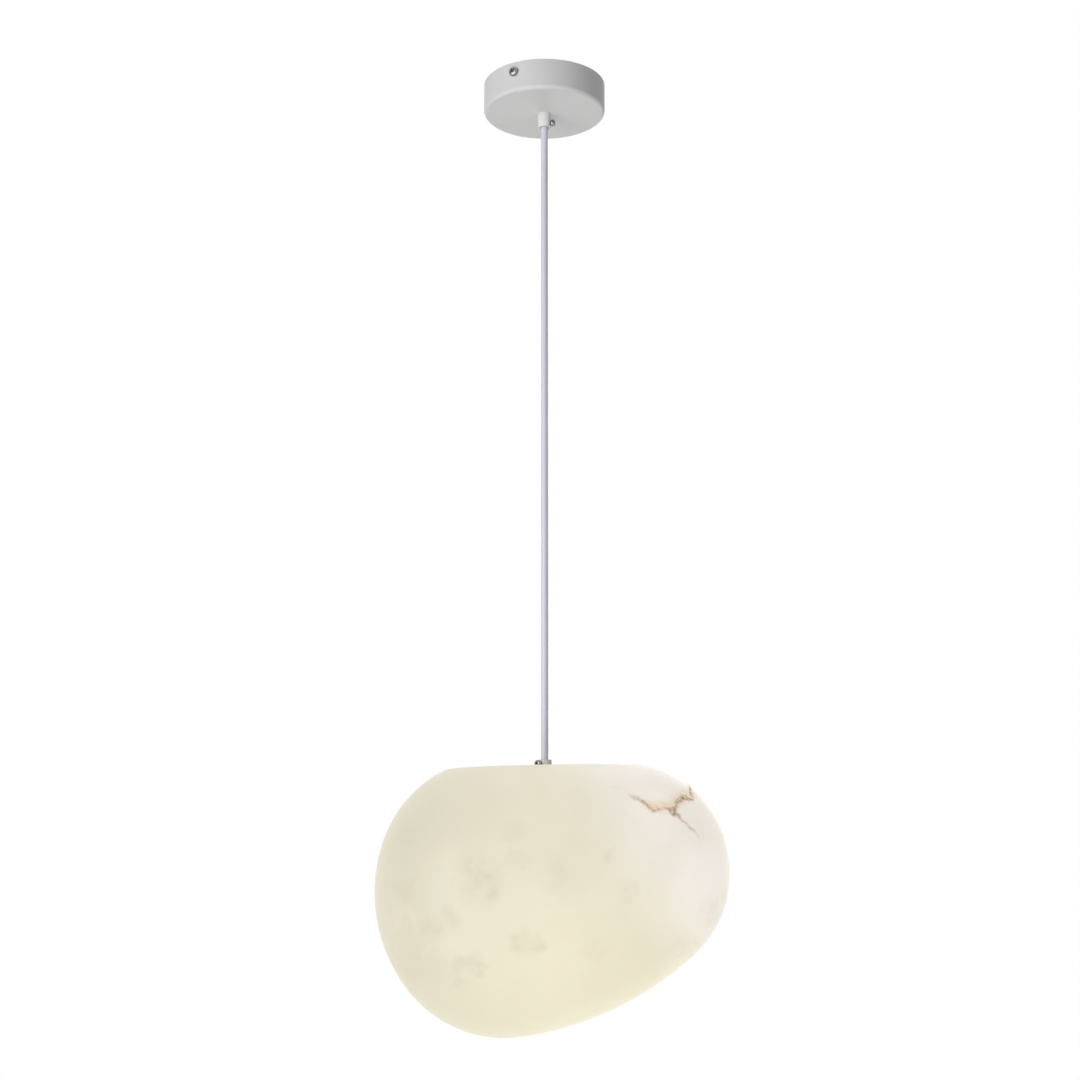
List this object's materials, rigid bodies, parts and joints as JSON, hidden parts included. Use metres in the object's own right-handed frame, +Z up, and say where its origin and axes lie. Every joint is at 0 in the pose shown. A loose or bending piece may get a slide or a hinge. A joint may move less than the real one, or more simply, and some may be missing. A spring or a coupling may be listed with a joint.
{
  "type": "pendant lamp",
  "caption": "Pendant lamp with a hollow alabaster pebble shade on a straight white cord, hung from a round white ceiling canopy; it swings on the cord and the shade turns.",
  "frame": {"origin": "on the ceiling plane, on the axis of the canopy and the cord, midway between the bracket's two ceiling holes", "axes": "+Z up out of the ceiling face along the cord, +X along the pebble towards its small end, +Y away from the picture's camera"},
  "size_m": [0.2698, 0.2098, 0.7635],
  "materials": {
    "powder_coated_steel": "satin",
    "zinc_plated_steel": "satin",
    "nickel_plated_screws": "polished",
    "white_nylon": "satin",
    "white_cord": "satin",
    "terminal_plastic": "satin",
    "brass": "satin",
    "brown_insulation": "satin",
    "blue_insulation": "satin",
    "green_yellow_insulation": "satin",
    "black_rubber": "matte",
    "alabaster": "satin",
    "white_thermoplastic": "satin",
    "porcelain": "satin",
    "black_glass": "gloss",
    "plain_aluminium": "satin",
    "bulb_plastic": "satin",
    "opal_diffuser": "satin",
    "led_phosphor": "satin"
  },
  "bodies": {
    "ceiling_rose": {"ceiling_bracket": "zinc_plated_steel", "canopy_cup": "powder_coated_steel", "canopy_side_screws": "nickel_plated_screws", "terminal_block": "terminal_plastic", "terminal_sleeves": "brass", "terminal_clamp_screws": "zinc_plated_steel", "terminal_fixing_screw": "zinc_plated_steel", "bracket_earth_lug": "brass", "bracket_earth_screw": "brass", "upper_cord_grip": "white_nylon", "upper_grip_screw": "nickel_plated_screws", "upper_grip_washer": "zinc_plated_steel", "upper_grip_nut": "zinc_plated_steel", "cord_tail_upper": "white_cord", "live_wire_upper": "brown_insulation", "neutral_wire_upper": "blue_insulation", "earth_wire_upper": "green_yellow_insulation"},
    "cord_neck": {"cord_neck": "white_cord"},
    "cord": {"suspension_cord": "white_cord"},
    "shade": {"lower_cord_grip": "white_nylon", "lower_grip_screw": "nickel_plated_screws", "lower_grip_washer": "zinc_plated_steel", "lower_grip_nut": "zinc_plated_steel", "cord_tail_lower": "white_cord", "live_wire_lower": "brown_insulation", "neutral_wire_lower": "blue_insulation", "earth_wire_lower": "green_yellow_insulation", "stone_shade": "alabaster", "cover_plate": "powder_coated_steel", "cover_gasket": "black_rubber", "clamp_screws": "zinc_plated_steel", "crossbar": "zinc_plated_steel", "crossbar_pads": "black_rubber", "crossbar_earth_lug": "brass", "crossbar_earth_screw": "brass", "holder_nipple": "zinc_plated_steel", "holder_nut": "zinc_plated_steel", "lampholder_cap": "white_thermoplastic", "lampholder_shell": "white_thermoplastic", "lampholder_insert": "porcelain", "lampholder_terminal_screws": "brass", "lampholder_socket": "brass", "lampholder_contact": "brass", "bulb_contact": "brass", "bulb_insulator": "black_glass", "bulb_screw_cap": "plain_aluminium", "bulb_body": "bulb_plastic", "bulb_globe": "opal_diffuser", "led_board": "plain_aluminium", "led_chips": "led_phosphor"}
  },
  "joints": [
    {"name": "swing_sideways", "type": "hinge", "parent": "ceiling_rose", "child": "cord_neck", "pos_m": [0, 0, -0.037], "axis": [0, 1, 0], "range_deg": [-30, 30]},
    {"name": "swing_fore_aft", "type": "hinge", "parent": "cord_neck", "child": "cord", "pos_m": [0, 0, -0.037], "axis": [1, 0, 0], "range_deg": [-30, 30]},
    {"name": "shade_turn", "type": "hinge", "parent": "cord", "child": "shade", "pos_m": [0, 0, -0.557], "axis": [0, 0, 1], "range_deg": [-180, 180]}
  ]
}
